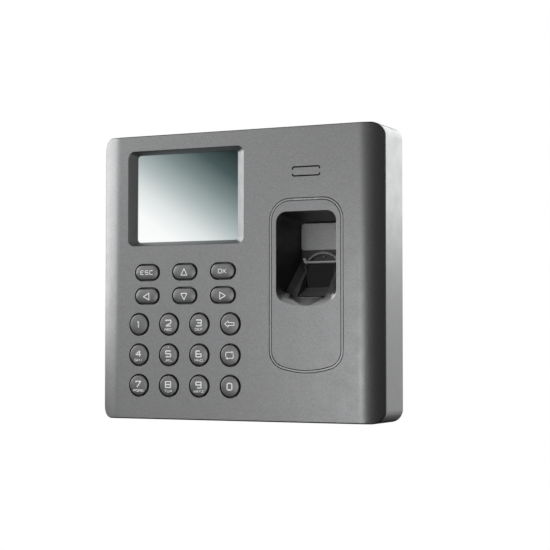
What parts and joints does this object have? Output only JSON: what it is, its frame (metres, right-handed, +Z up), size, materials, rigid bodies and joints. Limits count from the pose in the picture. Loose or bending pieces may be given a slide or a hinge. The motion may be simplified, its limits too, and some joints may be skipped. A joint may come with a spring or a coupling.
{
  "type": "fingerprint scanner terminal",
  "caption": "Wall-mounted attendance terminal with a colour display, a keypad of sprung keys and an inset finger scanner, hung on a steel hook plate.",
  "frame": {"origin": "middle of the wall plate's back face, on the wall", "axes": "+X to the viewer's right, +Y into the wall, +Z up; the front faces -Y"},
  "size_m": [0.135, 0.0257, 0.125],
  "materials": {
    "wall_plate": "zinc-plated sheet steel",
    "front_cover": "fine sparkle texture, satin",
    "rear_cover": "moulded, matt",
    "display_window": "clear hard-coated acrylic",
    "display_gasket": "foam",
    "lcd_panel": "display, switched off",
    "lcd_backlight": "pressed tray",
    "display_flex": "polyimide ribbon",
    "keypad_membrane": "silicone",
    "main_board": "green solder mask",
    "processor": "moulded chip",
    "memory_chip": "moulded chip",
    "battery_holder": "moulded",
    "clock_battery": "steel coin cell",
    "network_jack": "tin-plated shield",
    "power_jack": "moulded",
    "usb_port": "nickel-plated shell",
    "speaker": "moulded frame",
    "insert_ring": "satin",
    "status_light_guide": "frosted translucent",
    "scanner_bezel": "fine sparkle texture, satin",
    "scanner_well": "moulded, fine texture",
    "sensor_cradle": "moulded, satin",
    "sensor_glass": "polished black coated glass",
    "scanner_light": "clear diode lens",
    "scanner_board": "green solder mask",
    "scanner_camera": "lens barrel",
    "key": "satin keycap with printed legend",
    "screw": "zinc-plated"
  },
  "bodies": {
    "wall_plate": {"wall_plate": "wall_plate"},
    "terminal": {"front_cover": "front_cover", "rear_cover": "rear_cover", "display_window": "display_window", "display_gasket": "display_gasket", "lcd_panel": "lcd_panel", "lcd_backlight": "lcd_backlight", "display_flex": "display_flex", "keypad_membrane": "keypad_membrane", "main_board": "main_board", "processor": "processor", "memory_chip": "memory_chip", "battery_holder": "battery_holder", "clock_battery": "clock_battery", "network_jack": "network_jack", "power_jack": "power_jack", "usb_port": "usb_port", "speaker": "speaker", "insert_ring": "insert_ring", "status_light_guide": "status_light_guide", "scanner_bezel": "scanner_bezel", "scanner_well": "scanner_well", "sensor_cradle": "sensor_cradle", "sensor_glass": "sensor_glass", "scanner_light": "scanner_light", "scanner_board": "scanner_board", "scanner_camera": "scanner_camera", "case_screw_1": "screw", "case_screw_2": "screw", "case_screw_3": "screw", "case_screw_4": "screw", "case_screw_5": "screw", "case_screw_6": "screw", "board_screw_1": "screw", "board_screw_2": "screw", "board_screw_3": "screw", "board_screw_4": "screw", "security_screw": "screw"},
    "button_esc": {"key_esc": "key"},
    "button_up": {"key_up": "key"},
    "button_ok": {"key_ok": "key"},
    "button_left": {"key_left": "key"},
    "button_down": {"key_down": "key"},
    "button_right": {"key_right": "key"},
    "button_1": {"key_1": "key"},
    "button_2": {"key_2": "key"},
    "button_3": {"key_3": "key"},
    "button_back": {"key_back": "key"},
    "button_4": {"key_4": "key"},
    "button_5": {"key_5": "key"},
    "button_6": {"key_6": "key"},
    "button_repeat": {"key_repeat": "key"},
    "button_7": {"key_7": "key"},
    "button_8": {"key_8": "key"},
    "button_9": {"key_9": "key"},
    "button_0": {"key_0": "key"}
  },
  "joints": [
    {"name": "terminal_lift", "type": "slide", "parent": "wall_plate", "child": "terminal", "axis": [0, 0, 1], "range_m": [0, 0.008]},
    {"name": "press_esc", "type": "slide", "parent": "terminal", "child": "button_esc", "axis": [0, 1, 0], "range_m": [0, 0.0009], "stiffness_N_per_m": 600, "deforming": ["keypad_membrane"]},
    {"name": "press_up", "type": "slide", "parent": "terminal", "child": "button_up", "axis": [0, 1, 0], "range_m": [0, 0.0009], "stiffness_N_per_m": 600, "deforming": ["keypad_membrane"]},
    {"name": "press_ok", "type": "slide", "parent": "terminal", "child": "button_ok", "axis": [0, 1, 0], "range_m": [0, 0.0009], "stiffness_N_per_m": 600, "deforming": ["keypad_membrane"]},
    {"name": "press_left", "type": "slide", "parent": "terminal", "child": "button_left", "axis": [0, 1, 0], "range_m": [0, 0.0009], "stiffness_N_per_m": 600, "deforming": ["keypad_membrane"]},
    {"name": "press_down", "type": "slide", "parent": "terminal", "child": "button_down", "axis": [0, 1, 0], "range_m": [0, 0.0009], "stiffness_N_per_m": 600, "deforming": ["keypad_membrane"]},
    {"name": "press_right", "type": "slide", "parent": "terminal", "child": "button_right", "axis": [0, 1, 0], "range_m": [0, 0.0009], "stiffness_N_per_m": 600, "deforming": ["keypad_membrane"]},
    {"name": "press_1", "type": "slide", "parent": "terminal", "child": "button_1", "axis": [0, 1, 0], "range_m": [0, 0.0009], "stiffness_N_per_m": 600, "deforming": ["keypad_membrane"]},
    {"name": "press_2", "type": "slide", "parent": "terminal", "child": "button_2", "axis": [0, 1, 0], "range_m": [0, 0.0009], "stiffness_N_per_m": 600, "deforming": ["keypad_membrane"]},
    {"name": "press_3", "type": "slide", "parent": "terminal", "child": "button_3", "axis": [0, 1, 0], "range_m": [0, 0.0009], "stiffness_N_per_m": 600, "deforming": ["keypad_membrane"]},
    {"name": "press_back", "type": "slide", "parent": "terminal", "child": "button_back", "axis": [0, 1, 0], "range_m": [0, 0.0009], "stiffness_N_per_m": 600, "deforming": ["keypad_membrane"]},
    {"name": "press_4", "type": "slide", "parent": "terminal", "child": "button_4", "axis": [0, 1, 0], "range_m": [0, 0.0009], "stiffness_N_per_m": 600, "deforming": ["keypad_membrane"]},
    {"name": "press_5", "type": "slide", "parent": "terminal", "child": "button_5", "axis": [0, 1, 0], "range_m": [0, 0.0009], "stiffness_N_per_m": 600, "deforming": ["keypad_membrane"]},
    {"name": "press_6", "type": "slide", "parent": "terminal", "child": "button_6", "axis": [0, 1, 0], "range_m": [0, 0.0009], "stiffness_N_per_m": 600, "deforming": ["keypad_membrane"]},
    {"name": "press_repeat", "type": "slide", "parent": "terminal", "child": "button_repeat", "axis": [0, 1, 0], "range_m": [0, 0.0009], "stiffness_N_per_m": 600, "deforming": ["keypad_membrane"]},
    {"name": "press_7", "type": "slide", "parent": "terminal", "child": "button_7", "axis": [0, 1, 0], "range_m": [0, 0.0009], "stiffness_N_per_m": 600, "deforming": ["keypad_membrane"]},
    {"name": "press_8", "type": "slide", "parent": "terminal", "child": "button_8", "axis": [0, 1, 0], "range_m": [0, 0.0009], "stiffness_N_per_m": 600, "deforming": ["keypad_membrane"]},
    {"name": "press_9", "type": "slide", "parent": "terminal", "child": "button_9", "axis": [0, 1, 0], "range_m": [0, 0.0009], "stiffness_N_per_m": 600, "deforming": ["keypad_membrane"]},
    {"name": "press_0", "type": "slide", "parent": "terminal", "child": "button_0", "axis": [0, 1, 0], "range_m": [0, 0.0009], "stiffness_N_per_m": 600, "deforming": ["keypad_membrane"]}
  ]
}
